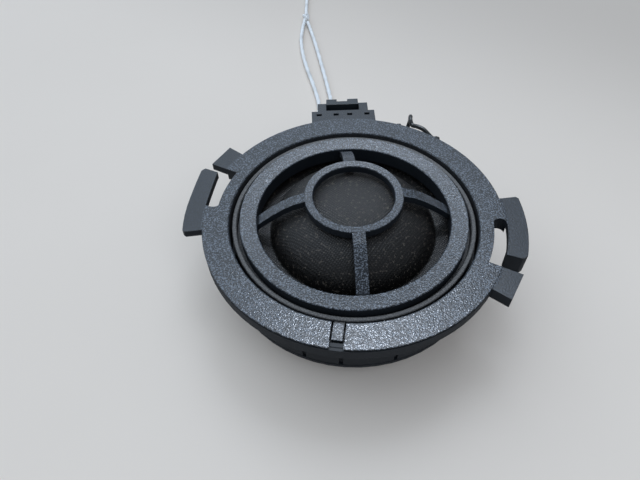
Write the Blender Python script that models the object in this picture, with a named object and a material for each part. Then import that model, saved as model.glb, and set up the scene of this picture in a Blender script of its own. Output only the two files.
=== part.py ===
"""Car tweeter: a twist-lock moulded housing with a domed grille insert, a soft-dome driver behind it,
a two-pin socket and a tied label string.

Metres, +Z up along the sound axis. The origin is the centre of the flat back of the yoke cup, on
which the tweeter stands. +Y points to the socket, -Y to the key of the grille insert.
"""
import math

import bmesh
import bpy
from mathutils import Vector

MM = 0.001

# Driving dimensions, in millimetres. Heights called "below" are measured down from the flange's top face.
FACE_Z = 19.0            # flange top face above the resting surface
FLANGE_R = 29.0
FLANGE_T = 2.9
OPENING_R = 23.9         # opening in the flange that takes the grille insert
SKIRT_R = 25.8
SKIRT_WALL = 1.6
SKIRT_END = 11.7         # lower end of the skirt, below the face
SEAT_TOP = 5.1           # shelf inside the housing, below the face
SEAT_T = 1.2
SEAT_R = 19.6
SHADOW_LINE = 0.4        # fine groove under the flange's top edge
SHADOW_DEPTH = 0.6

TAB_R = 32.65            # outer radius of the twist-lock lugs and spring arms
TAB_DROP = 0.08          # lug tops sit this far under the flange face
SLOT_IN_R = 26.5
SLOT_OUT_R = 29.05
LUG_START, LUG_END = 321.0, 331.6
ARM_END = 365.3
SLOT_END = 352.2
# Each side: its turn, the arm's free end, its depth there, its outward lean, and the slot end's rounding.
LOCK_SIDES = (
    (0.0, 337.7, 4.5, 0.0, 1.27),
    (180.0, 334.6, 1.6, 1.2, 0.6),
)

INSERT_R = 23.35
BAND_OUT_R = 21.85
BAND_IN_R = 18.6
BAND_RISE = 0.35         # band's outer edge above the flange face
RING_OUT_R = 9.2
RING_IN_R = 7.6
RING_TOP = 5.35          # central ring's top above the flange face
RING_T = 1.6
SPOKE_W = 2.3
SPOKE_T = 1.42
SPOKE_TURN = 1.5         # spokes are turned this many degrees from the axes
KEY_ANGLE = 260.7
KEY_W = 1.85
KEY_END_R = 27.3

SOCKET_X = -0.2
PLATE_T = 1.3
PIN_X = (-2.2, 1.8)
PIN_SIDE = 0.64
PIN_DROP = 7.1

CUP_R = 13.0
CUP_H = 9.4
COIL_R = 10.3
DOME_R = 10.1
BOSS_R = 21.9
BOSS_ANGLES = (65.0, 185.0, 305.0)
LEG_ANGLES = (20.0, 110.0, 200.0, 290.0)
HOOK_ANGLES = (35.0, 150.0, 230.0, 325.0)
LEAD_ANGLES = (40.0, 50.0)
GAP = 0.3                # clearance between pieces that touch

CORD_D = 1.2
WIRE_D = 1.0
LEAD_D = 0.3

FINE = 80                # segments round the visible mouldings
COARSE = 32              # segments round the pieces inside

DOWN = FACE_Z


def clear_scene():
    for obj in list(bpy.data.objects):
        bpy.data.objects.remove(obj)


def material(name, colour, roughness, metallic=0.0):
    mat = bpy.data.materials.get(name)
    if mat is None:
        mat = bpy.data.materials.new(name)
        mat.use_nodes = True
        shader = mat.node_tree.nodes["Principled BSDF"]
        shader.inputs["Base Color"].default_value = (*colour, 1.0)
        shader.inputs["Roughness"].default_value = roughness
        shader.inputs["Metallic"].default_value = metallic
    return mat


def plastic():
    return material("black_plastic", (0.045, 0.05, 0.058), 0.5)


def steel():
    return material("plated_steel", (0.55, 0.55, 0.53), 0.35, 1.0)


def brass():
    return material("tinned_brass", (0.72, 0.66, 0.5), 0.35, 1.0)


def finish(name, bm, mat, cutter=False):
    """Closes a bmesh (built in millimetres) into a named object in metres."""
    bmesh.ops.recalc_face_normals(bm, faces=bm.faces[:])
    if bm.calc_volume(signed=True) < 0:
        bmesh.ops.reverse_faces(bm, faces=bm.faces[:])
    bmesh.ops.scale(bm, vec=(MM, MM, MM), verts=bm.verts[:])
    mesh = bpy.data.meshes.new(name)
    bm.to_mesh(mesh)
    bm.free()
    mesh.shade_smooth()
    mesh.set_sharp_from_angle(angle=math.radians(35))
    obj = bpy.data.objects.new(name, mesh)
    bpy.context.scene.collection.objects.link(obj)
    if cutter:
        obj.hide_render = True
        obj.display_type = "WIRE"
    else:
        mesh.materials.append(mat)
    return obj


def polar(radius, degrees, z=0.0):
    angle = math.radians(degrees)
    return Vector((radius * math.cos(angle), radius * math.sin(angle), z))


def turned(profile, segments):
    """A ring or a solid of revolution from a closed (radius, z) outline; a radius of 0 is a pole."""
    bm = bmesh.new()
    rings = []
    for radius, z in profile:
        if radius == 0:
            rings.append([bm.verts.new((0, 0, z))])
            continue
        rings.append([bm.verts.new(polar(radius, 360 * k / segments, z)) for k in range(segments)])
    for one, two in zip(rings, rings[1:] + rings[:1]):
        for k in range(segments):
            n = (k + 1) % segments
            corners = [one[k % len(one)], one[n % len(one)], two[n % len(two)], two[k % len(two)]]
            unique = list(dict.fromkeys(corners))
            if len(unique) > 2:
                bm.faces.new(unique)
    return bm


def prism(outline, z_low, z_high):
    """An outline of (x, y) points carried from one height to another."""
    bm = bmesh.new()
    low = [bm.verts.new((x, y, z_low)) for x, y in outline]
    high = [bm.verts.new((x, y, z_high)) for x, y in outline]
    bm.faces.new(low)
    bm.faces.new(high)
    for k in range(len(outline)):
        n = (k + 1) % len(outline)
        bm.faces.new((low[k], low[n], high[n], high[k]))
    return bm


def block(centre, size, turn=0.0):
    """A box of the given size, turned about the vertical through the origin."""
    bm = bmesh.new()
    bmesh.ops.create_cube(bm, size=1.0)
    bmesh.ops.scale(bm, vec=size, verts=bm.verts[:])
    bmesh.ops.translate(bm, vec=centre, verts=bm.verts[:])
    rotate_z(bm, turn)
    return bm


def rotate_z(bm, degrees):
    angle = math.radians(degrees)
    for vert in bm.verts:
        x, y = vert.co.x, vert.co.y
        vert.co.x = x * math.cos(angle) - y * math.sin(angle)
        vert.co.y = x * math.sin(angle) + y * math.cos(angle)


def swept_sector(stations):
    """A bar that follows the axis: each station is (degrees, inner r, outer r, low z, high z)."""
    bm = bmesh.new()
    sections = []
    for degrees, r_in, r_out, low, high in stations:
        corners = ((r_in, low), (r_out, low), (r_out, high), (r_in, high))
        sections.append([bm.verts.new(polar(r, degrees, z)) for r, z in corners])
    for one, two in zip(sections, sections[1:]):
        for k in range(4):
            n = (k + 1) % 4
            bm.faces.new((one[k], one[n], two[n], two[k]))
    bm.faces.new(sections[0])
    bm.faces.new(sections[-1])
    return bm


def sector(start, end, r_in, r_out, low, high, step=3.0):
    count = max(1, round((end - start) / step))
    angles = [start + (end - start) * k / count for k in range(count + 1)]
    return swept_sector([(a, r_in, r_out, low, high) for a in angles])


def combine(obj, operation, bm, label):
    """Unites or cuts the object with a bmesh through an exact Boolean modifier."""
    tool = finish(f"{obj.name}_{label}", bm, None, cutter=True)
    modifier = obj.modifiers.new(label, "BOOLEAN")
    modifier.operation = operation
    modifier.object = tool
    modifier.solver = "EXACT"


def unite(obj, bm, label):
    combine(obj, "UNION", bm, label)


def cut(obj, bm, label):
    combine(obj, "DIFFERENCE", bm, label)


# ---------------------------------------------------------------- mounting housing

def housing_body():
    """Flange, skirt and inner shelf, turned as one moulding."""
    edge = 0.12
    chamfer = 0.22
    line_top = DOWN - 0.16
    line_low = line_top - SHADOW_LINE
    skirt_in = SKIRT_R - SKIRT_WALL
    profile = (
        (OPENING_R, DOWN - chamfer),
        (OPENING_R + chamfer, DOWN),
        (FLANGE_R - edge, DOWN),
        (FLANGE_R, DOWN - edge),
        (FLANGE_R - SHADOW_DEPTH, line_top),
        (FLANGE_R - SHADOW_DEPTH, line_low),
        (FLANGE_R, line_low),
        (FLANGE_R, DOWN - FLANGE_T),
        (SKIRT_R, DOWN - FLANGE_T),
        (SKIRT_R, DOWN - SKIRT_END),
        (skirt_in, DOWN - SKIRT_END),
        (skirt_in, DOWN - SEAT_TOP - SEAT_T),
        (SEAT_R, DOWN - SEAT_TOP - SEAT_T),
        (SEAT_R, DOWN - SEAT_TOP),
        (OPENING_R, DOWN - SEAT_TOP),
    )
    return finish("mounting_housing", turned(profile, FINE), plastic())


def lean_at(angle, free, lean):
    """How far outward the spring arm has bent at this angle: nothing at its root, all at its free end."""
    return lean * (max(0.0, SLOT_END - angle) / (SLOT_END - free)) ** 2


def lock_side(turn, free, depth, lean):
    """One side's twist-lock lug and spring arm as one bar: the lug's underside is a ramp, the arm's
    free end may carry a deep stop, and the corners are rounded in plan."""
    top = DOWN - TAB_DROP
    thin = DOWN - 1.6
    lug = [(LUG_START, 0.0, DOWN - 2.5), (LUG_END + 0.6, 0.0, thin)]
    stop = [(free - 0.3, 0.9), (free + 0.6, 0.35), (free + 1.6, 0.0), (free + 2.4, 0.0)]
    arm = [(a, rounding, DOWN - depth) for a, rounding in stop]
    arm += [(free + 3.6 + (361.5 - free - 3.6) * k / 6, 0.0, thin) for k in range(7)]
    arm += [(ARM_END - 0.8, 0.0, thin), (ARM_END, 0.4, thin)]
    bar = [(a, TAB_R - rounding, low) for a, rounding, low in lug]
    bar += [(a, TAB_R - rounding + lean_at(a, free, lean), low) for a, rounding, low in arm]
    return swept_sector([(a + turn, FLANGE_R - 1.0, r, low, top) for a, r, low in bar])


def lock_slot(turn, free, lean, end_depth):
    """Cuts the gap beside the lug and the slot behind the spring arm, with a rounded blind end."""
    half = (SLOT_OUT_R - SLOT_IN_R) / 2
    outline = [polar(TAB_R + 3, LUG_END + turn), polar(TAB_R + 3, free + turn)]
    for k in range(7):
        angle = free + (SLOT_END - free) * k / 6
        outline.append(polar(SLOT_OUT_R + lean_at(angle, free, lean), angle + turn))
    centre = polar(SLOT_IN_R + half, SLOT_END + turn)
    for k in range(1, 6):
        bend = math.pi * k / 6
        outward = polar(half * math.cos(bend), SLOT_END + turn)
        outline.append(centre + outward + polar(end_depth * math.sin(bend), SLOT_END + turn + 90))
    for k in range(7):
        outline.append(polar(SLOT_IN_R, SLOT_END - (SLOT_END - LUG_END) * k / 6 + turn))
    return prism([(p.x, p.y) for p in outline], DOWN - 5.0, DOWN + 1.0)


def socket_body():
    """The shroud's outside: side walls, floor and back, under the stepped plate."""
    return block((SOCKET_X, 29.7, DOWN - 5.2), (11.4, 9.9, 9.8))


def socket_plate():
    """The stepped plate on top of the socket, with two lead-in teeth at its free edge."""
    base, step = 7.2, 5.8
    tooth_in, tooth_out = 1.25, 3.7
    half = (
        (base, 26.5), (base, 31.95), (step, 31.95), (step, 34.8),
        (tooth_out, 34.8), (tooth_out, 36.4), (tooth_in, 36.4), (tooth_in, 35.6),
    )
    outline = [(SOCKET_X + x, y) for x, y in half] + [(SOCKET_X - x, y) for x, y in reversed(half)]
    return prism(outline, DOWN - PLATE_T, DOWN - TAB_DROP)


def socket_cuts(housing):
    cut(housing, block((SOCKET_X, 31.9, DOWN - 5.15), (9.4, 9.0, 7.5)), "socket_mouth")
    cut(housing, block((SOCKET_X, 33.3, DOWN), (7.6, 2.2, 4.0)), "latch_window")
    for k, x in enumerate((-5.5, -1.6, 1.5, 5.45)):
        hole = block((SOCKET_X + x, 30.7, DOWN), (1.15, 0.75, 1.6))
        cut(housing, hole, f"core_hole_{k + 1}")
    catch = block((SOCKET_X, 34.9, DOWN - 1.6), (7.8, 0.96, 0.84))
    unite(housing, catch, "latch_catch")
    for k, x in enumerate(PIN_X):
        side = PIN_SIDE + 2 * GAP
        cut(housing, block((x, 26.0, DOWN - PIN_DROP), (side, 6.0, side)), f"pin_passage_{k + 1}")


def make_housing():
    housing = housing_body()
    for k, (turn, free, depth, lean, _) in enumerate(LOCK_SIDES):
        unite(housing, lock_side(turn, free, depth, lean), f"lock_side_{k + 1}")
    unite(housing, socket_body(), "socket_body")
    unite(housing, socket_plate(), "socket_plate")
    for k, angle in enumerate(BOSS_ANGLES):
        boss = turned([(0.7, 9.5), (0.7, 13.0), (1.6, 13.0), (1.6, 9.5)], 16)
        bmesh.ops.translate(boss, vec=polar(BOSS_R, angle, DOWN - 18.2), verts=boss.verts[:])
        unite(housing, boss, f"screw_boss_{k + 1}")
    for k, (turn, free, _, lean, end_depth) in enumerate(LOCK_SIDES):
        cut(housing, lock_slot(turn, free, lean, end_depth), f"lock_slot_{k + 1}")
    socket_cuts(housing)
    key_low = DOWN - 2.2
    pocket = (OPENING_R - 0.7, KEY_END_R + GAP)
    key = block((sum(pocket) / 2, 0, key_low + 2), (pocket[1] - pocket[0], 2.45, 4.0))
    rotate_z(key, KEY_ANGLE)
    cut(housing, key, "key_pocket")
    notch = block((28.3, 0, DOWN + 0.55), (3.0, 2.3, 2.0), KEY_ANGLE)
    cut(housing, notch, "key_notch")
    for k, angle in enumerate(LEG_ANGLES):
        window = sector(angle - 7.5, angle + 7.5, 21.9, 23.6, DOWN - 7.0, DOWN - 4.0)
        cut(housing, window, f"leg_window_{k + 1}")
    for k, angle in enumerate(HOOK_ANGLES):
        window = sector(angle - 6.0, angle + 6.0, 23.6, 27.5, DOWN - 10.0, DOWN - 8.4)
        cut(housing, window, f"hook_window_{k + 1}")
    wire_gate = sector(45.0, 75.0, 23.6, 27.5, DOWN - 8.0, DOWN - 3.6)
    cut(housing, wire_gate, "wire_gate")
    for k, angle in enumerate((247.0, 262.0, 284.0)):
        slit = block((25.8, 0, DOWN - 8.6), (1.0, 0.7, 9.0), angle)
        cut(housing, slit, f"skirt_slit_{k + 1}")
    return housing


# ---------------------------------------------------------------- grille insert

def spoke_top(radius):
    """Height of a spoke's top over the flange face: an arch from the ring down to the band."""
    share = (radius - RING_OUT_R) / (BAND_IN_R - RING_OUT_R)
    return RING_TOP - 0.1 - (RING_TOP + 0.55) * max(share, 0.0) ** 1.45


def spoke(turn):
    stations = [RING_IN_R + 0.6, RING_OUT_R, 11.2, 13.2, 15.2, 17.0, BAND_IN_R, BAND_IN_R + 1.2]
    bm = bmesh.new()
    sections = []
    for radius in stations:
        top = DOWN + spoke_top(min(radius, BAND_IN_R))
        low = top - SPOKE_T
        corners = ((-1, low), (1, low), (1, top), (-1, top))
        sections.append([bm.verts.new((radius, side * SPOKE_W / 2, z)) for side, z in corners])
    for one, two in zip(sections, sections[1:]):
        for k in range(4):
            n = (k + 1) % 4
            bm.faces.new((one[k], one[n], two[n], two[k]))
    bm.faces.new(sections[0])
    bm.faces.new(sections[-1])
    rotate_z(bm, turn)
    return bm


def make_insert():
    """Band, groove and ledge turned in one; ring, spokes, key tongue and snap legs united to it."""
    edge = 0.15
    band_top = DOWN + BAND_RISE
    profile = (
        (BAND_IN_R, DOWN - edge),
        (BAND_IN_R + edge, DOWN),
        (BAND_OUT_R - edge, band_top),
        (BAND_OUT_R, band_top - edge),
        (BAND_OUT_R, DOWN - 2.1),
        (22.4, DOWN - 2.1),
        (22.4, DOWN - 0.95),
        (22.6, DOWN - 0.7),
        (INSERT_R - 0.15, DOWN - 0.6),
        (INSERT_R, DOWN - 0.75),
        (INSERT_R, DOWN - 4.1),
        (19.4, DOWN - 4.1),
        (19.4, DOWN - 3.1),
        (BAND_IN_R, DOWN - 3.1),
    )
    insert = finish("grille_insert", turned(profile, FINE), plastic())
    ring_top = DOWN + RING_TOP
    ring = (
        (RING_IN_R, ring_top - 0.3),
        (RING_IN_R + 0.12, ring_top - 0.12),
        (RING_OUT_R - 0.12, ring_top),
        (RING_OUT_R, ring_top - 0.12),
        (RING_OUT_R, ring_top - RING_T),
        (RING_IN_R, ring_top - RING_T),
    )
    spokes = [90 * k + SPOKE_TURN for k in range(4)]
    for k, angle in enumerate(spokes):
        unite(insert, spoke(angle), f"spoke_{k + 1}")
    unite(insert, turned(ring, 56), "centre_ring")
    root = (22.5 + KEY_END_R) / 2
    tongue = block((root, 0, DOWN - 1.5), (KEY_END_R - 22.5, KEY_W, 0.9), KEY_ANGLE)
    unite(insert, tongue, "key_tongue")
    raised = (OPENING_R + 0.25, KEY_END_R - 0.01)
    tip = block((sum(raised) / 2, 0, DOWN - 0.65), (raised[1] - raised[0], KEY_W - 0.02, 1.0), KEY_ANGLE)
    unite(insert, tip, "key_tip")
    for k, angle in enumerate(LEG_ANGLES):
        leg = sector(angle - 5.5, angle + 5.5, 22.2, 23.0, DOWN - 7.4, DOWN - 3.6)
        unite(insert, leg, f"snap_leg_{k + 1}")
        barb = sector(angle - 5.2, angle + 5.2, 21.5, 22.7, DOWN - 7.3, DOWN - 6.65)
        unite(insert, barb, f"snap_barb_{k + 1}")
    return insert


# ---------------------------------------------------------------- cloth, gasket and driver

def shell_profile(points, thickness):
    """Closes an open (radius, z) line into an outline of the given thickness, hanging below it."""
    return list(points) + [(r, z - thickness) for r, z in reversed(points)]


def cloth_height(radius, rim=16.0, rim_z=-3.9, height=7.95):
    """The formed cloth's dome over the flange face: flat-topped, with a steep edge at its rim."""
    share = min(radius / rim, 1.0)
    return rim_z + height * (1 - share ** 2.6) ** 0.62


def make_cloth():
    radii = (0, 4.0, 7.6, 10.5, 12.8, 14.4, 15.4, 15.9)
    points = [(r, DOWN + cloth_height(r)) for r in radii]
    points += [(16.2, DOWN - 4.4), (21.4, DOWN - 4.4)]
    cloth = material("grille_cloth", (0.035, 0.032, 0.03), 0.9)
    return finish("grille_cloth", turned(shell_profile(points, 0.4), 48), cloth)


def make_gasket():
    foam = material("black_foam", (0.02, 0.02, 0.02), 0.95)
    profile = ((15.2, 5.1), (18.4, 5.1), (18.4, 6.5), (15.2, 6.5))
    return finish("foam_gasket", turned([(r, DOWN - z) for r, z in profile], COARSE), foam)


def make_dome():
    """The soft dome that radiates the sound, with the short skirt that is glued to the coil former."""
    height = 3.2
    sphere = (DOME_R ** 2 + height ** 2) / (2 * height)
    base = DOWN - 7.9
    points = []
    for k in range(7):
        radius = DOME_R * k / 6
        points.append((radius, base + math.sqrt(sphere ** 2 - radius ** 2) - sphere + height))
    silk = material("coated_silk", (0.03, 0.03, 0.035), 0.6)
    return finish("dome_diaphragm", turned(shell_profile(points, 0.25), COARSE), silk)


def make_surround():
    """The half-roll edge round the dome, with its flat glue rim."""
    roll_in, roll_out, base = 10.5, 13.2, DOWN - 8.0
    middle, half = (roll_in + roll_out) / 2, (roll_out - roll_in) / 2
    points = []
    for k in range(7):
        angle = math.pi * (1 - k / 6)
        points.append((middle + half * math.cos(angle), base + 0.9 * math.sin(angle)))
    points.append((14.5, base))
    silk = material("coated_silk", (0.03, 0.03, 0.035), 0.6)
    return finish("surround", turned(shell_profile(points, 0.25), COARSE), silk)


def tube_profile(r_in, r_out, top, bottom):
    return [(r_in, DOWN - top), (r_out, DOWN - top), (r_out, DOWN - bottom), (r_in, DOWN - bottom)]


def make_moving_coil():
    kapton = material("coil_former", (0.5, 0.28, 0.08), 0.4)
    copper = material("copper_wire", (0.75, 0.35, 0.16), 0.35, 1.0)
    finish("coil_former", turned(tube_profile(9.9, 10.1, 8.35, 13.4), COARSE), kapton)
    finish("voice_coil", turned(tube_profile(COIL_R, 10.8, 10.6, 12.4), COARSE), copper)


def make_motor():
    """Pot magnet: yoke cup, neodymium disc and pole disc, with a felt disc under the dome."""
    cup = (
        (0, 0.0), (CUP_R - 0.4, 0.0), (CUP_R, 0.4), (CUP_R, CUP_H),
        (11.3, CUP_H), (11.3, 2.0), (0, 2.0),
    )
    finish("yoke_cup", turned(cup, 48), steel())
    magnet = ((0, 2.3), (8.8, 2.3), (8.8, 6.1), (0, 6.1))
    nickel = material("nickel_plating", (0.62, 0.6, 0.56), 0.25, 1.0)
    finish("magnet", turned(magnet, COARSE), nickel)
    pole = ((0, 6.4), (9.5, 6.4), (9.5, 8.6), (0, 8.6))
    finish("pole_disc", turned(pole, COARSE), steel())
    felt = material("felt", (0.2, 0.2, 0.21), 0.95)
    finish("damping_felt", turned(((0, 8.9), (8.4, 8.9), (8.4, 9.7), (0, 9.7)), COARSE), felt)


def make_chassis():
    """The driver's moulded ring: it carries the surround on its shelf and the yoke cup in its bore."""
    profile = (
        (14.9, 6.8), (18.9, 6.8), (18.9, 9.0), (20.0, 9.0), (20.0, 10.2),
        (15.0, 10.2), (15.0, 15.0), (CUP_R + GAP, 15.0), (CUP_R + GAP, 8.8), (14.9, 8.8),
    )
    grey = material("chassis_plastic", (0.06, 0.06, 0.065), 0.55)
    chassis = finish("driver_chassis", turned([(r, DOWN - z) for r, z in profile], 40), grey)
    for k, angle in enumerate(BOSS_ANGLES):
        ear = block((20.9, 0, DOWN - 9.6), (4.6, 3.6, 1.2), angle)
        unite(chassis, ear, f"screw_ear_{k + 1}")
    for k, angle in enumerate(BOSS_ANGLES):
        hole = turned([(0, -2), (1.15, -2), (1.15, 2), (0, 2)], 16)
        bmesh.ops.translate(hole, vec=polar(BOSS_R, angle, DOWN - 9.6), verts=hole.verts[:])
        cut(chassis, hole, f"ear_hole_{k + 1}")
    for k, angle in enumerate(LEAD_ANGLES):
        passage = block((16.5, 0, DOWN - 8.4), (8.0, 0.9, 0.9), angle)
        cut(chassis, passage, f"lead_passage_{k + 1}")
    return chassis


def make_screws():
    """Three pan-head self-tapping screws that clamp the chassis ears to the housing's bosses."""
    profile = (
        (0, -8.2), (0.4, -8.2), (0.4, -10.5), (1.7, -10.5), (1.7, -11.1), (1.2, -11.4), (0, -11.4),
    )
    for k, angle in enumerate(BOSS_ANGLES):
        screw = turned(profile, 14)
        bmesh.ops.translate(screw, vec=polar(BOSS_R, angle, DOWN), verts=screw.verts[:])
        obj = finish(f"chassis_screw_{k + 1}", screw, steel())
        place = polar(BOSS_R, angle, DOWN - 11.4)
        for turn in (0, 90):
            recess = block((0, 0, 0), (1.9, 0.4, 0.9), turn)
            bmesh.ops.translate(recess, vec=place, verts=recess.verts[:])
            cut(obj, recess, f"recess_{turn}")


def make_rear_cover():
    """The ring that closes the housing round the driver, held by four snap hooks."""
    profile = ((15.4, 12.0), (SKIRT_R, 12.0), (SKIRT_R, 12.8), (SKIRT_R - 0.4, 13.2), (15.4, 13.2))
    cover = finish("rear_cover", turned([(r, DOWN - z) for r, z in profile], 56), plastic())
    for k, angle in enumerate(HOOK_ANGLES):
        arm = sector(angle - 4.5, angle + 4.5, 23.1, 23.85, DOWN - 12.5, DOWN - 8.7)
        unite(cover, arm, f"hook_arm_{k + 1}")
        barb = sector(angle - 4.2, angle + 4.2, 23.4, 24.9, DOWN - 9.6, DOWN - 8.8)
        unite(cover, barb, f"hook_barb_{k + 1}")
    return cover


# ---------------------------------------------------------------- electrical pieces

def smooth_route(points, count):
    """Reads evenly numbered points from a smooth curve through the route's own points."""
    knots = [Vector(p) for p in points]
    ends = [2 * knots[0] - knots[1]] + knots + [2 * knots[-1] - knots[-2]]
    spans = len(knots) - 1
    route = []
    for k in range(count):
        place = spans * k / (count - 1)
        span = min(int(place), spans - 1)
        t = place - span
        a, b, c, d = ends[span:span + 4]
        route.append(0.5 * (
            2 * b + (c - a) * t + (2 * a - 5 * b + 4 * c - d) * t ** 2 + (3 * b - a - 3 * c + d) * t ** 3
        ))
    return route


def cable(name, points, diameter, count, mat):
    """A round cable with filled ends along a smooth route given in millimetres."""
    curve = bpy.data.curves.new(name, "CURVE")
    curve.dimensions = "3D"
    curve.bevel_depth = diameter * MM / 2
    curve.bevel_resolution = 2
    curve.use_fill_caps = True
    spline = curve.splines.new("POLY")
    spline.points.add(count - 1)
    for point, place in zip(spline.points, smooth_route(points, count)):
        point.co = (*(place * MM), 1.0)
    curve.materials.append(mat)
    obj = bpy.data.objects.new(name, curve)
    bpy.context.scene.collection.objects.link(obj)
    return obj


def make_pins():
    for name, x in zip(("terminal_pin_negative", "terminal_pin_positive"), PIN_X):
        pin = block((x, 28.15, DOWN - PIN_DROP), (PIN_SIDE, 10.1, PIN_SIDE))
        finish(name, pin, brass())


def make_coil_leads():
    copper = material("copper_wire", (0.75, 0.35, 0.16), 0.35, 1.0)
    names = ("negative", "positive")
    for name, angle in zip(names, LEAD_ANGLES):
        z = DOWN - 8.45
        route = [polar(r, angle, z) for r in (11.2, 13.5, 16.0, 18.6)]
        cable(f"coil_lead_{name}", route, LEAD_D, 5, copper)
        tag = block((20.0, 0, z), (2.2, 1.6, 0.3), angle)
        finish(f"solder_tag_{name}", tag, brass())


def make_wires():
    """Two black leads from the driver's tags; they bulge out under the flange before they turn back
    in through the gate, one to a pin and the other to the capacitor."""
    sleeve = material("wire_sleeve", (0.015, 0.015, 0.016), 0.45)
    to_pin = (
        polar(21.6, 50.0, DOWN - 8.2), polar(22.8, 49.0, DOWN - 7.6), polar(24.6, 48.6, DOWN - 6.5),
        polar(27.2, 47.8, DOWN - 5.1), polar(29.7, 47.4, DOWN - 3.5), polar(31.1, 48.6, DOWN - 2.1),
        polar(31.1, 50.8, DOWN - 2.6), polar(31.1, 53.0, DOWN - 2.0), polar(31.4, 55.8, DOWN - 1.4),
        polar(31.5, 58.6, DOWN - 1.3), polar(31.7, 61.0, DOWN - 1.5), polar(32.6, 62.5, DOWN - 0.9),
        polar(34.0, 63.2, DOWN - 1.1), polar(34.8, 63.5, DOWN - 2.8), polar(33.9, 63.9, DOWN - 4.5),
        polar(32.0, 64.9, DOWN - 4.2), polar(31.9, 66.6, DOWN - 2.7), polar(30.9, 68.4, DOWN - 3.7),
        polar(28.6, 69.4, DOWN - 5.0), polar(26.0, 70.0, DOWN - 5.7), polar(24.5, 71.4, DOWN - 6.6),
        polar(23.4, 75.0, DOWN - 7.6), polar(22.2, 79.5, DOWN - 8.0),
        (PIN_X[1], 22.1, DOWN - 7.3), (PIN_X[1], 22.8, DOWN - PIN_DROP),
    )
    cable("lead_wire_positive", to_pin, WIRE_D, 72, sleeve)
    to_capacitor = (
        polar(21.6, 40.0, DOWN - 8.2), polar(22.6, 41.5, DOWN - 8.6), polar(23.0, 45.0, DOWN - 10.3),
        polar(22.9, 51.0, DOWN - 10.9), polar(22.4, 57.0, DOWN - 10.9),
        polar(20.0, 60.5, DOWN - 11.1), polar(18.0, 65.0, DOWN - 11.2), polar(17.4, 74.0, DOWN - 11.2),
        polar(17.6, 84.0, DOWN - 11.2), polar(19.5, 93.0, DOWN - 11.0), polar(21.3, 100.0, DOWN - 10.2),
        polar(21.9, 107.0, DOWN - 10.0), polar(22.1, 115.6, DOWN - 10.0),
    )
    cable("lead_wire_negative", to_capacitor, WIRE_D, 36, sleeve)
    tinned = material("tinned_copper", (0.7, 0.68, 0.62), 0.35, 1.0)
    to_negative_pin = (
        polar(22.1, 115.6, DOWN - 8.3), polar(22.2, 111.0, DOWN - 8.4), polar(22.4, 104.0, DOWN - 8.2),
        polar(22.4, 99.0, DOWN - 7.7), (PIN_X[0], 22.1, DOWN - 7.2), (PIN_X[0], 22.8, DOWN - PIN_DROP),
    )
    cable("capacitor_lead", to_negative_pin, 0.6, 12, tinned)


def make_capacitor():
    """Film capacitor in series with the negative lead: it keeps low notes out of the tweeter."""
    body = block((21.9, 0, DOWN - 9.2), (3.2, 7.2, 4.2), 126.0)
    red = material("capacitor_case", (0.45, 0.1, 0.05), 0.35)
    finish("series_capacitor", body, red)


def make_label_string():
    """Thin white string hitched round the left pin in the socket. It drops to the resting surface,
    its two strands meet in a knot, and the doubled tail ends in a second knot."""
    white = material("white_string", (0.8, 0.82, 0.84), 0.6)
    lay = CORD_D / 2 + 0.05
    z_pin = DOWN - PIN_DROP
    left = (
        (-3.35, 32.5, z_pin), (-3.75, 34.6, z_pin - 0.3), (-4.4, 37.5, z_pin - 1.6),
        (-4.8, 41.5, z_pin - 5.2), (-5.0, 45.5, z_pin - 9.2), (-5.2, 50.0, lay + 0.3),
        (-5.4, 55.0, lay), (-5.6, 61.0, lay), (-6.9, 69.0, lay), (-8.6, 77.5, lay),
        (-9.9, 86.0, lay), (-10.4, 94.5, lay), (-9.9, 101.5, lay), (-9.3, 105.6, lay + 0.2),
    )
    cable("tie_string_left", left, CORD_D, 36, white)
    right = (
        (-1.0, 32.5, z_pin), (-0.6, 34.6, z_pin - 0.3), (-0.2, 37.5, z_pin - 1.7),
        (-0.2, 41.5, z_pin - 5.4), (-0.5, 45.5, z_pin - 9.3), (-0.9, 50.0, lay + 0.3),
        (-1.4, 55.0, lay), (-2.0, 62.0, lay), (-3.0, 71.0, lay), (-4.4, 82.0, lay),
        (-5.9, 93.0, lay), (-7.3, 101.5, lay), (-8.1, 105.6, lay + 0.2),
    )
    cable("tie_string_right", right, CORD_D, 36, white)
    tail = (
        (-8.6, 110.2, lay + 0.2), (-8.5, 114.0, lay), (-8.3, 119.0, lay), (-8.1, 124.0, lay),
        (-8.2, 128.4, lay + 0.2),
    )
    cable("tie_string_tail", tail, CORD_D, 9, white)
    knot = ball((-8.7, 107.9, 1.35), (2.6, 3.9, 2.4))
    finish("tie_string_knot", knot, white)
    end_knot = ball((-8.3, 130.6, 1.3), (2.3, 3.4, 2.3))
    finish("tie_string_end_knot", end_knot, white)
    hitch = ring_on_pin((PIN_X[0], 31.6, z_pin), 1.1, 0.4)
    finish("tie_string_hitch", hitch, white)


def ball(centre, size):
    bm = bmesh.new()
    bmesh.ops.create_uvsphere(bm, u_segments=12, v_segments=8, radius=0.5)
    bmesh.ops.scale(bm, vec=size, verts=bm.verts[:])
    bmesh.ops.translate(bm, vec=centre, verts=bm.verts[:])
    return bm


def ring_on_pin(centre, radius, wire_r):
    """A small hoop round a pin that points along Y."""
    profile = []
    for k in range(8):
        angle = 2 * math.pi * k / 8
        profile.append((radius + wire_r * math.cos(angle), wire_r * math.sin(angle)))
    bm = turned(profile, 20)
    for vert in bm.verts:
        vert.co = Vector(centre) + Vector((vert.co.x, vert.co.z, vert.co.y))
    return bm


clear_scene()
make_housing()
make_insert()
make_cloth()
make_gasket()
make_dome()
make_surround()
make_moving_coil()
make_motor()
make_chassis()
make_screws()
make_rear_cover()
make_pins()
make_coil_leads()
make_wires()
make_capacitor()
make_label_string()
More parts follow.
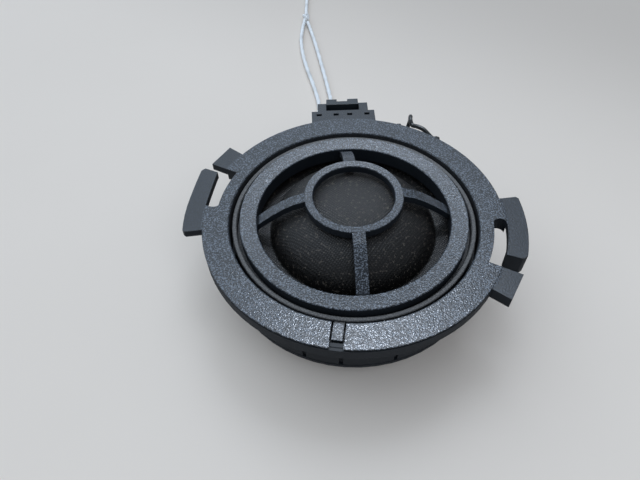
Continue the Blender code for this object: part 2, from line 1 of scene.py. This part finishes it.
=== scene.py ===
# %% [markdown]
# # A car tweeter
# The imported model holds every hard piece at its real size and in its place. This script gives each of
# them a worked material, and makes the soft pieces again in fine detail: the formed cloth behind the
# grille and the string that tied a label to the socket. It ends with a pale floor and soft light.

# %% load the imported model
import math

import bmesh
import bpy
from mathutils import Matrix, Vector, noise


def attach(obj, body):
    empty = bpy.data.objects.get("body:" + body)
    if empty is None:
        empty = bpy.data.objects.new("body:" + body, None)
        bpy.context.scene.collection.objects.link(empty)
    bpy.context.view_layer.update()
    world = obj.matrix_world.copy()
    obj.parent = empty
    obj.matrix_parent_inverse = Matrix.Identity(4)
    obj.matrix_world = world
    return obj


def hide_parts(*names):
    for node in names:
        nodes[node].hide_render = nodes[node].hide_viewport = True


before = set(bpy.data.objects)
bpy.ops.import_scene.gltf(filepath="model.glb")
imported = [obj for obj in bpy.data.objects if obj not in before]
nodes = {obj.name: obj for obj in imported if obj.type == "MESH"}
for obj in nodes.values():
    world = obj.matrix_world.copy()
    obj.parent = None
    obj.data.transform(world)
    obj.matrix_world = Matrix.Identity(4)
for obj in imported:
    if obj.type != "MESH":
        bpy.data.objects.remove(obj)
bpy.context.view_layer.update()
MM = 0.001
FACE = 19.0  # height of the flange's face over the floor, in millimetres

# %% [markdown]
# ## Camera
# A close wide-angle view from the front, 51 degrees above the horizontal and rolled by 2 degrees.

# %% camera
elevation, roll = math.radians(50.996), math.radians(-2.046)
back = Vector((0, -math.cos(elevation), math.sin(elevation)))
up = Vector((0, math.sin(elevation), math.cos(elevation)))
right = Vector((1, 0, 0))
camera = bpy.data.objects.new("camera", bpy.data.cameras.new("camera"))
bpy.context.scene.collection.objects.link(camera)
axes = (right * math.cos(roll) + up * math.sin(roll), up * math.cos(roll) - right * math.sin(roll), back)
place = Matrix.Translation((-0.0065425, -0.0673407, 0.0944625))
camera.matrix_world = place @ Matrix(axes).transposed().to_4x4()
camera.data.sensor_width = 36.0
camera.data.lens = 29.53
camera.data.clip_start = 0.005
bpy.context.scene.camera = camera

# %% [markdown]
# ## Label string
# One thin white string, hitched round a pin in the socket. It drops to the floor, its two strands meet
# in a knot, and the tail ends in a second knot. The strands are thin two-ply cord, so each is swept
# as a tube whose section is slightly waisted and turns along the route.

# %% string: routes
CORD = 1.2
LAY = CORD / 2 + 0.05
PIN_Z = FACE - 7.1


def smooth_route(points, count):
    """Even steps along a smooth curve through the route's own points, in millimetres."""
    knots = [Vector(p) for p in points]
    ends = [2 * knots[0] - knots[1]] + knots + [2 * knots[-1] - knots[-2]]
    spans = len(knots) - 1
    route = []
    for k in range(count):
        at = spans * k / (count - 1)
        span = min(int(at), spans - 1)
        t = at - span
        a, b, c, d = ends[span:span + 4]
        route.append(0.5 * (
            2 * b + (c - a) * t + (2 * a - 5 * b + 4 * c - d) * t ** 2 + (3 * b - a - 3 * c + d) * t ** 3
        ))
    return route


left_strand = (
    (-3.35, 32.5, PIN_Z), (-3.75, 34.6, PIN_Z - 0.3), (-4.4, 37.5, PIN_Z - 1.6),
    (-4.8, 41.5, PIN_Z - 5.2), (-5.0, 45.5, PIN_Z - 9.2), (-5.2, 50.0, LAY + 0.3),
    (-5.4, 55.0, LAY), (-5.6, 61.0, LAY), (-6.9, 69.0, LAY), (-8.6, 77.5, LAY),
    (-9.9, 86.0, LAY), (-10.4, 94.5, LAY), (-9.9, 101.5, LAY), (-9.3, 105.6, LAY + 0.2),
)
right_strand = (
    (-1.0, 32.5, PIN_Z), (-0.6, 34.6, PIN_Z - 0.3), (-0.2, 37.5, PIN_Z - 1.7),
    (-0.2, 41.5, PIN_Z - 5.4), (-0.5, 45.5, PIN_Z - 9.3), (-0.9, 50.0, LAY + 0.3),
    (-1.4, 55.0, LAY), (-2.0, 62.0, LAY), (-3.0, 71.0, LAY), (-4.4, 82.0, LAY),
    (-5.9, 93.0, LAY), (-7.3, 101.5, LAY), (-8.1, 105.6, LAY + 0.2),
)
tail = (
    (-8.6, 110.2, LAY + 0.2), (-8.5, 114.0, LAY), (-8.3, 119.0, LAY), (-8.1, 124.0, LAY),
    (-8.2, 128.4, LAY + 0.2),
)

# %% string: the swept cord


def sweep(name, path, section, closed=False):
    """Sweeps a section along a path, in mm; section(angle, step) gives its offset from the path."""
    sides = 12
    bm = bmesh.new()
    rings = []
    side = None
    for i, centre in enumerate(path):
        one = path[i - 1] if i or closed else path[i]
        two = path[(i + 1) % len(path)] if i + 1 < len(path) or closed else path[i]
        along = (two - one).normalized()
        if side is None:
            side = along.orthogonal().normalized()
        side = (side - along * side.dot(along)).normalized()
        other = along.cross(side)
        ring = []
        for k in range(sides):
            x, y = section(2 * math.pi * k / sides, i)
            ring.append(bm.verts.new((centre + side * x + other * y) * MM))
        rings.append(ring)
    pairs = list(zip(rings, rings[1:]))
    if closed:
        shift = min(range(sides), key=lambda s: (rings[-1][0].co - rings[0][s].co).length)
        pairs.append((rings[-1], rings[0][shift:] + rings[0][:shift]))
    for one, two in pairs:
        for k in range(sides):
            n = (k + 1) % sides
            bm.faces.new((one[k], one[n], two[n], two[k]))
    if not closed:
        bm.faces.new(list(reversed(rings[0])))
        bm.faces.new(rings[-1])
    mesh = bpy.data.meshes.new(name)
    bm.to_mesh(mesh)
    bm.free()
    mesh.shade_smooth()
    obj = bpy.data.objects.new(name, mesh)
    bpy.context.scene.collection.objects.link(obj)
    return obj


def two_ply(angle, step):
    """A waisted section that turns once in every 14 steps."""
    turn = 2 * math.pi * step / 14
    radius = CORD / 2 * (0.91 + 0.09 * math.cos(2 * (angle - turn)))
    return radius * math.cos(angle), radius * math.sin(angle)


def route_length(path):
    return sum((b - a).length for a, b in zip(path, path[1:]))


def string_piece(name, points, steps):
    path = smooth_route(points, steps)
    return sweep(name, path, two_ply), path


def knot_path(centre, size, count=72):
    """A closed trefoil, the shape of a pulled overhand knot, fitted to a box."""
    turns = [2 * math.pi * k / count for k in range(count)]
    spread = [(v - CORD * 0.8) / 2 for v in size]
    return [Vector(centre) + Vector((
        spread[0] * (math.sin(t) + 2 * math.sin(2 * t)) / 2.76,
        spread[1] * (math.cos(t) - 2 * math.cos(2 * t)) / 2.76,
        -spread[2] * math.sin(3 * t),
    )) for t in turns]


def round_section(angle, step):
    return 0.4 * math.cos(angle), 0.4 * math.sin(angle)


long_points = left_strand + ((-8.9, 107.9, LAY + 0.4),) + tail
long_string, long_path = string_piece("label_string_long", long_points, 330)
short_string, short_path = string_piece("label_string_short", right_strand, 240)
knot = sweep("label_string_knot", knot_path((-8.7, 107.9, 1.35), (2.6, 3.9, 2.4)), round_section, True)
end_knot = sweep("label_string_end_knot", knot_path((-8.3, 130.6, 1.3), (2.3, 3.4, 2.3)), round_section, True)
print("string lengths, mm:", round(route_length(long_path), 1), round(route_length(short_path), 1))

# %% [markdown]
# ## Materials
# Small helpers write node trees. The moulded grain is one group, because the housing, the grille
# insert, the rear cover and the chassis all come from spark-eroded moulds. Its pale specks on the flange's
# upward faces are painted glints. Dust has settled in the groove round the insert, and the walls, the
# tabs and the sunk faces are smoother than the flange.

# %% material helpers


def add(tree, kind, inputs=None, **settings):
    node = tree.nodes.new(kind)
    for key, value in settings.items():
        setattr(node, key, value)
    for key, value in (inputs or {}).items():
        if isinstance(value, bpy.types.NodeSocket):
            tree.links.new(value, node.inputs[key])
        else:
            node.inputs[key].default_value = value
    return node


def math_node(tree, operation, a, b=0.0, clamp=False):
    return add(tree, "ShaderNodeMath", {0: a, 1: b}, operation=operation, use_clamp=clamp).outputs[0]


def ramp(tree, factor, low, high):
    """0 below low, 1 above high, smooth between."""
    return add(tree, "ShaderNodeMapRange", {0: factor, 1: low, 2: high},
               interpolation_type="SMOOTHSTEP").outputs[0]


def mix_colour(tree, factor, one, two):
    node = add(tree, "ShaderNodeMix", data_type="RGBA")
    for socket, value in ((node.inputs[0], factor), (node.inputs[6], one), (node.inputs[7], two)):
        if isinstance(value, bpy.types.NodeSocket):
            tree.links.new(value, socket)
        elif isinstance(value, float):
            socket.default_value = value
        else:
            socket.default_value = (*value, 1.0)
    return node.outputs[2]


def dot_with(tree, vector, axis):
    return add(tree, "ShaderNodeVectorMath", {0: vector, 1: axis}, operation="DOT_PRODUCT").outputs["Value"]


def noise_node(tree, place, scale, detail=2.0, roughness=0.5):
    return add(tree, "ShaderNodeTexNoise",
               {"Vector": place, "Scale": scale, "Detail": detail, "Roughness": roughness}).outputs[0]


def new_material(name):
    mat = bpy.data.materials.new(name)
    mat.use_nodes = True
    tree = mat.node_tree
    place = add(tree, "ShaderNodeTexCoord").outputs["Object"]
    return mat, tree, tree.nodes["Principled BSDF"], place


def wire_up(tree, shader, colour, roughness, height=None, distance=0.0, edge=0.0):
    tree.links.new(colour, shader.inputs["Base Color"])
    tree.links.new(roughness, shader.inputs["Roughness"])
    if height is not None:
        bump = add(tree, "ShaderNodeBump", {"Height": height, "Distance": distance})
        if edge:
            soft = add(tree, "ShaderNodeBevel", {"Radius": edge}, samples=4)
            tree.links.new(soft.outputs[0], bump.inputs["Normal"])
        tree.links.new(bump.outputs[0], shader.inputs["Normal"])


# %% moulded grain group
TAB_START = 28.9  # the lock tabs and the socket's plate lie outside this radius, in mm
GROOVE_IN, GROOVE_OUT, GROOVE_DEPTH = 21.9, 23.95, 3.0  # the groove round the insert, in mm
EDGE = 0.00016  # rounding of the moulded edges
grain = bpy.data.node_groups.new("moulded_grain", "ShaderNodeTree")
grain.interface.new_socket("Vector", in_out="INPUT", socket_type="NodeSocketVector")
grain.interface.new_socket("Height", in_out="OUTPUT", socket_type="NodeSocketFloat")
grain.interface.new_socket("GlintAndDustSpeck", in_out="OUTPUT", socket_type="NodeSocketFloat")
grain.interface.new_socket("Smudge", in_out="OUTPUT", socket_type="NodeSocketFloat")
source = grain.nodes.new("NodeGroupInput")
sink = grain.nodes.new("NodeGroupOutput")
fine = noise_node(grain, source.outputs[0], 3800.0, 1.0)
pits = add(grain, "ShaderNodeTexVoronoi", {"Vector": source.outputs[0], "Scale": 2600.0}).outputs["Distance"]
height = math_node(grain, "ADD", fine, math_node(grain, "MULTIPLY", pits, 0.45))
grain.links.new(height, sink.inputs[0])
# The second output places pale specks: painted glints on the plastic, and patches in its dust.
grain.links.new(ramp(grain, noise_node(grain, source.outputs[0], 3700.0, 1.0), 0.47, 0.62), sink.inputs[1])
grain.links.new(ramp(grain, noise_node(grain, source.outputs[0], 90.0, 3.0), 0.4, 0.75), sink.inputs[2])


def band(tree, value, low, high, soft):
    """1 between low and high, falling to 0 outside over the soft width."""
    rise = ramp(tree, value, low - soft, low + soft)
    fall = ramp(tree, value, high - soft, high + soft)
    return math_node(tree, "SUBTRACT", rise, fall, clamp=True)


def part_masks(tree, place):
    """Where the surface faces up, how far out it is, how high, and whether it is on the flange's face."""
    facing = add(tree, "ShaderNodeSeparateXYZ", {0: add(tree, "ShaderNodeNewGeometry").outputs["Normal"]})
    up_face = ramp(tree, facing.outputs[2], 0.25, 0.75)
    at = add(tree, "ShaderNodeSeparateXYZ", {0: place})
    flat = add(tree, "ShaderNodeCombineXYZ", {0: at.outputs[0], 1: at.outputs[1]})
    radius = add(tree, "ShaderNodeVectorMath", {0: flat.outputs[0]}, operation="LENGTH").outputs["Value"]
    face = ramp(tree, at.outputs[2], (FACE - 0.35) * MM, (FACE - 0.1) * MM)
    return up_face, radius, at.outputs[2], face


def settled_dust(tree, up_face, radius, z, speckle):
    """Pale dust in the groove round the insert, thickest on its ledge."""
    groove = math_node(tree, "MULTIPLY", band(tree, radius, GROOVE_IN * MM, GROOVE_OUT * MM, 0.00005),
                       band(tree, z, (FACE - GROOVE_DEPTH) * MM, (FACE - 0.25) * MM, 0.0001))
    settles = math_node(tree, "ADD", math_node(tree, "MULTIPLY", up_face, 0.7), 0.3)
    patchy = math_node(tree, "ADD", math_node(tree, "MULTIPLY", speckle, 0.6), 0.4)
    return math_node(tree, "MULTIPLY", groove, math_node(tree, "MULTIPLY", settles, patchy))


def moulded_plastic(name, dark, light, painted_glint, rough, textured=1.0):
    """Moulded plastic, grained on the flange and nearly smooth on its walls, tabs and sunk faces.
    Its pale specks, on the flange's upward faces only, are painted glints.
    """
    mat, tree, shader, place = new_material(name)
    made = tree.nodes.new("ShaderNodeGroup")
    made.node_tree = grain
    tree.links.new(place, made.inputs[0])
    up_face, radius, z, face = part_masks(tree, place)
    tab = math_node(tree, "MULTIPLY", ramp(tree, radius, TAB_START * MM, (TAB_START + 0.5) * MM), 0.65)
    keep = math_node(tree, "SUBTRACT", 1.0, tab)
    top = math_node(tree, "MULTIPLY", up_face, math_node(tree, "MULTIPLY", keep, face))

    body = mix_colour(tree, made.outputs["Smudge"], dark, light)
    # Painted glints: pale specks on the flange's upward faces stand for light sparkling on the grain.
    glint_amount = math_node(tree, "MULTIPLY", made.outputs["GlintAndDustSpeck"], math_node(tree, "MULTIPLY", top, textured))
    colour = mix_colour(tree, glint_amount, body, painted_glint)
    dust = settled_dust(tree, up_face, radius, z, made.outputs["GlintAndDustSpeck"])
    colour = mix_colour(tree, dust, colour, (0.12, 0.116, 0.112))

    shine = math_node(tree, "SUBTRACT", rough, math_node(tree, "MULTIPLY", glint_amount, 0.18))
    wall_rough = math_node(tree, "MULTIPLY", math_node(tree, "SUBTRACT", 1.0, up_face), 0.2)
    sunk_rough = math_node(tree, "MULTIPLY", math_node(tree, "SUBTRACT", 1.0, face), 0.25)
    roughness = math_node(tree, "ADD", math_node(tree, "ADD", shine, wall_rough), sunk_rough)
    level = math_node(tree, "ADD", math_node(tree, "MULTIPLY", up_face, 0.2), 0.3)
    tree.links.new(level, shader.inputs["Specular IOR Level"])
    share = math_node(tree, "ADD", math_node(tree, "MULTIPLY", top, 0.85), 0.15)
    height = math_node(tree, "MULTIPLY", made.outputs["Height"], share)
    wire_up(tree, shader, colour, roughness, height, 0.00004 * textured, edge=EDGE)
    return mat


# %% plastics, cloth, string and metals
# The third colour of each plastic is its painted glint.
black = moulded_plastic("black_plastic", (0.009, 0.012, 0.016), (0.014, 0.018, 0.023),
                        (0.13, 0.15, 0.18), 0.31)
grey = moulded_plastic("chassis_plastic", (0.035, 0.035, 0.036), (0.05, 0.05, 0.052), (0.09, 0.09, 0.09),
                       0.55, 0.5)


def woven_cloth():
    """Black mesh on the bias: two sets of threads cross, with pale specks of dust on them.
    The thread crossings are painted lighter, a painted sheen, and the gaps darker, a painted shade.
    """
    mat, tree, shader, place = new_material("grille_mesh")
    drift = add(tree, "ShaderNodeTexNoise", {"Vector": place, "Scale": 160.0, "Detail": 2.0}).outputs[1]
    small = add(tree, "ShaderNodeVectorMath", {0: drift, 1: (0.0012, 0.0012, 0.0012)}, operation="MULTIPLY")
    bent = add(tree, "ShaderNodeVectorMath", {0: place, 1: small.outputs[0]}, operation="ADD").outputs[0]
    threads = []
    for turn in (42.0, -48.0):
        turned = add(tree, "ShaderNodeMapping", {"Vector": bent, "Rotation": (0, 0, math.radians(turn))})
        wave = add(tree, "ShaderNodeTexWave", {
            "Vector": turned.outputs[0], "Scale": 700.0, "Distortion": 1.5, "Detail Scale": 1.2})
        threads.append(wave.outputs[1])
    weave = math_node(tree, "MULTIPLY", threads[0], threads[1])
    crossing_sheen = ramp(tree, weave, 0.1, 0.8)
    fuzz = noise_node(tree, place, 2400.0, 2.0)
    dust = ramp(tree, noise_node(tree, place, 1700.0, 3.0, 0.7), 0.56, 0.68)
    # Painted sheen on the thread crossings and painted shade in the gaps between them.
    thread = mix_colour(tree, crossing_sheen, (0.0015, 0.0013, 0.0012), (0.008, 0.0072, 0.0068))
    colour = mix_colour(tree, math_node(tree, "MULTIPLY", dust, 0.6), thread, (0.13, 0.11, 0.09))
    rough = math_node(tree, "SUBTRACT", 0.62, math_node(tree, "MULTIPLY", crossing_sheen, 0.36))
    relief = math_node(tree, "ADD", weave, math_node(tree, "MULTIPLY", fuzz, 0.5))
    wire_up(tree, shader, colour, rough, relief, 0.00004)
    return mat


def string_fibre():
    mat, tree, shader, place = new_material("white_string")
    fibres = noise_node(tree, place, 5200.0, 2.0)
    grime = ramp(tree, noise_node(tree, place, 260.0, 2.0), 0.45, 0.8)
    colour = mix_colour(tree, grime, (0.80, 0.83, 0.85), (0.62, 0.64, 0.64))
    rough = math_node(tree, "ADD", 0.35, math_node(tree, "MULTIPLY", fibres, 0.3))
    wire_up(tree, shader, colour, rough, fibres, 0.00004)
    return mat


def metal(name, colour_a, colour_b, rough, scale=900.0):
    mat, tree, shader, place = new_material(name)
    cloud = noise_node(tree, place, scale * 0.4, 3.0)
    lines = noise_node(tree, place, scale * 4, 2.0)
    colour = mix_colour(tree, cloud, colour_a, colour_b)
    roughness = math_node(tree, "ADD", rough, math_node(tree, "MULTIPLY", lines, 0.2))
    wire_up(tree, shader, colour, roughness, lines, 0.000012)
    shader.inputs["Metallic"].default_value = 1.0
    return mat


def soft_matt(name, colour_a, colour_b, rough, scale, relief):
    mat, tree, shader, place = new_material(name)
    grains = noise_node(tree, place, scale, 3.0, 0.6)
    colour = mix_colour(tree, grains, colour_a, colour_b)
    roughness = math_node(tree, "ADD", rough, math_node(tree, "MULTIPLY", grains, 0.15))
    wire_up(tree, shader, colour, roughness, grains, relief)
    return mat


mesh_cloth = woven_cloth()
white = string_fibre()
steel = metal("plated_steel", (0.50, 0.50, 0.48), (0.62, 0.61, 0.58), 0.25)
nickel = metal("nickel_plating", (0.60, 0.58, 0.54), (0.68, 0.66, 0.62), 0.15)
copper = metal("copper_wire", (0.62, 0.26, 0.11), (0.76, 0.36, 0.17), 0.3, 1800.0)
tinned = metal("tinned_copper", (0.60, 0.59, 0.56), (0.72, 0.70, 0.66), 0.3, 1800.0)
brass = metal("tinned_brass", (0.60, 0.52, 0.36), (0.74, 0.69, 0.56), 0.25, 1200.0)
foam = soft_matt("black_foam", (0.008, 0.008, 0.008), (0.03, 0.03, 0.03), 0.8, 1600.0, 0.0002)
felt = soft_matt("felt", (0.10, 0.10, 0.11), (0.26, 0.26, 0.27), 0.8, 2600.0, 0.0001)
silk = soft_matt("coated_silk", (0.015, 0.015, 0.018), (0.04, 0.04, 0.045), 0.4, 3000.0, 0.00004)
kapton = soft_matt("coil_former", (0.35, 0.16, 0.03), (0.48, 0.24, 0.06), 0.2, 900.0, 0.00001)
sleeve = soft_matt("wire_sleeve", (0.008, 0.009, 0.009), (0.016, 0.018, 0.018), 0.3, 1500.0, 0.00002)
case = soft_matt("capacitor_case", (0.30, 0.05, 0.02), (0.42, 0.09, 0.04), 0.15, 500.0, 0.00005)

# %% put the materials on
finishes = {
    black: ("mounting_housing", "grille_insert", "rear_cover"),
    grey: ("driver_chassis",),
    steel: ("yoke_cup", "pole_disc", "chassis_screw_1", "chassis_screw_2", "chassis_screw_3"),
    nickel: ("magnet",),
    copper: ("voice_coil", "coil_lead_negative", "coil_lead_positive"),
    tinned: ("capacitor_lead",),
    brass: ("terminal_pin_negative", "terminal_pin_positive", "solder_tag_negative", "solder_tag_positive"),
    foam: ("foam_gasket",),
    felt: ("damping_felt",),
    silk: ("dome_diaphragm", "surround"),
    kapton: ("coil_former",),
    sleeve: ("lead_wire_positive", "lead_wire_negative"),
    case: ("series_capacitor",),
    white: ("tie_string_hitch",),
}
for mat, names in finishes.items():
    for name in names:
        mesh = nodes[name].data
        mesh.materials.clear()
        mesh.materials.append(mat)
        mesh.shade_smooth()
        mesh.set_sharp_from_angle(angle=math.radians(30))
print("finished nodes:", sum(len(names) for names in finishes.values()))

# %% [markdown]
# ## Grille cloth
# The stiff mesh is formed to a dome. Its flat rim is clamped under the insert, and the steep edge of
# the dome is puckered where the cloth was drawn in.

# %% cloth
RIM = 16.0  # radius where the dome meets the flat rim, in mm
RIM_Z = -3.9  # the foot of the dome, from the flange's face
INSET = 0.05  # how far the fine cloth is lowered into the plain solid


def cloth_height(radius):
    share = min(radius / RIM, 1.0)
    return RIM_Z + 7.95 * (1 - share ** 2.6) ** 0.62


def pucker(radius, angle):
    """Small radial folds at the dome's steep edge, deeper at both sides and at the back left."""
    at_edge = math.exp(-((radius - 15.0) / 1.5) ** 2)
    sides = 0.45 + 0.55 * math.cos(angle) ** 2 + 0.5 * max(0.0, math.cos(angle - math.radians(140))) ** 6
    where = Vector((9 * math.cos(angle), 9 * math.sin(angle), radius * 0.25))
    folds = noise.noise(where * 2.2) + 0.6 * noise.noise(where * 5.0)
    return -0.28 * at_edge * sides * abs(folds)


def build_cloth():
    rounds = 224
    radii = [RIM * k / 70 for k in range(1, 70)] + [15.9, 15.97, 16.05, 16.2]
    radii += [16.2 + 5.2 * k / 14 for k in range(1, 15)]
    bm = bmesh.new()
    centre = bm.verts.new((0, 0, (FACE + cloth_height(0) - INSET) * MM))
    last = None
    for radius in radii:
        ring = []
        for k in range(rounds):
            angle = 2 * math.pi * k / rounds
            z = cloth_height(radius) if radius < RIM else RIM_Z - min(0.55, (radius - RIM) * 3)
            z += pucker(radius, angle) - INSET
            ring.append(bm.verts.new((
                radius * math.cos(angle) * MM, radius * math.sin(angle) * MM, (FACE + z) * MM)))
        for k in range(rounds):
            n = (k + 1) % rounds
            if last is None:
                bm.faces.new((centre, ring[k], ring[n]))
            else:
                bm.faces.new((last[k], ring[k], ring[n], last[n]))
        last = ring
    mesh = bpy.data.meshes.new("grille_mesh_cloth")
    bm.to_mesh(mesh)
    bm.free()
    mesh.shade_smooth()
    mesh.materials.append(mesh_cloth)
    obj = bpy.data.objects.new("grille_mesh_cloth", mesh)
    bpy.context.scene.collection.objects.link(obj)
    return obj


cloth = build_cloth()
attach(cloth, "housing")
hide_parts("grille_cloth")

# %% the string rides on the housing and stands for its plain solids
for piece, stands_for in (
    (long_string, ("tie_string_left", "tie_string_tail")), (short_string, ("tie_string_right",)),
    (knot, ("tie_string_knot",)), (end_knot, ("tie_string_end_knot",)),
):
    piece.data.materials.append(white)
    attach(piece, "housing")
    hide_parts(*stands_for)

# %% [markdown]
# ## Floor and light
# A pale plain floor, with painted shade making it a touch darker towards the back right. A soft overhead
# lamp stands behind the part. A gleam that only shows as a reflection brightens the front of the flange,
# and a fill from the front only lights surfaces. The cool sky is brightest at the back left.

# %% floor
floor_mesh = bpy.data.meshes.new("floor")
floor_mesh.from_pydata([(-2, -2, 0), (2, -2, 0), (2, 2, 0), (-2, 2, 0)], [], [(0, 1, 2, 3)])
floor = bpy.data.objects.new("floor", floor_mesh)
floor.location.z = -0.0002  # a hair under the part
bpy.context.scene.collection.objects.link(floor)
floor_mat, tree, shader, place = new_material("pale_floor")
cloud = noise_node(tree, place, 14.0, 4.0)
tone = mix_colour(tree, cloud, (0.72, 0.645, 0.57), (0.78, 0.705, 0.63))
painted_shade_towards = (0.6, 0.8, 0.0)
# Painted shade: the floor is painted darker towards the back right, where less light falls.
tone = mix_colour(tree, ramp(tree, dot_with(tree, place, painted_shade_towards), 0.03, 0.15), tone, (0.53, 0.475, 0.42))
wire_up(tree, shader, tone, math_node(tree, "ADD", 0.55, math_node(tree, "MULTIPLY", cloud, 0.15)))
floor_mesh.materials.append(floor_mat)
print("floor:", [round(v, 2) for v in floor.dimensions])

# %% light


def area_light(name, position, size, energy, colour, lights=True, gleams=True):
    """A square lamp aimed at the part; it may only light surfaces, or only show as a gleam on them."""
    light = bpy.data.lights.new(name, "AREA")
    light.size = size
    light.energy = energy
    light.color = colour
    obj = bpy.data.objects.new(name, light)
    obj.location = position
    obj.rotation_euler = (-Vector(position)).to_track_quat("-Z", "Y").to_euler()
    obj.visible_diffuse = lights
    obj.visible_glossy = gleams
    bpy.context.scene.collection.objects.link(obj)


area_light("overhead", (0.10, 0.48, 0.87), 0.40, 1.3, (0.86, 0.96, 1.10))
area_light("gleam", (0.075, 0.375, 0.924), 0.14, 2.1, (0.88, 0.96, 1.08), lights=False)
area_light("fill", (0.25, -0.45, 0.75), 0.50, 1.6, (0.86, 0.96, 1.10), gleams=False)
world = bpy.data.worlds.new("sky")
world.use_nodes = True
tree = world.node_tree
ray = add(tree, "ShaderNodeTexCoord").outputs["Generated"]
brightest = (-0.42, 0.47, 0.775)
glow = ramp(tree, dot_with(tree, ray, brightest), 0.35, 1.02)
sky = mix_colour(tree, glow, (0.28, 0.30, 0.33), (1.08, 1.24, 1.42))
tree.links.new(sky, tree.nodes["Background"].inputs[0])
tree.nodes["Background"].inputs[1].default_value = 1.0
bpy.context.scene.world = world
bpy.context.scene.view_settings.view_transform = "Standard"
print("lamps:", [light.name for light in bpy.data.lights])
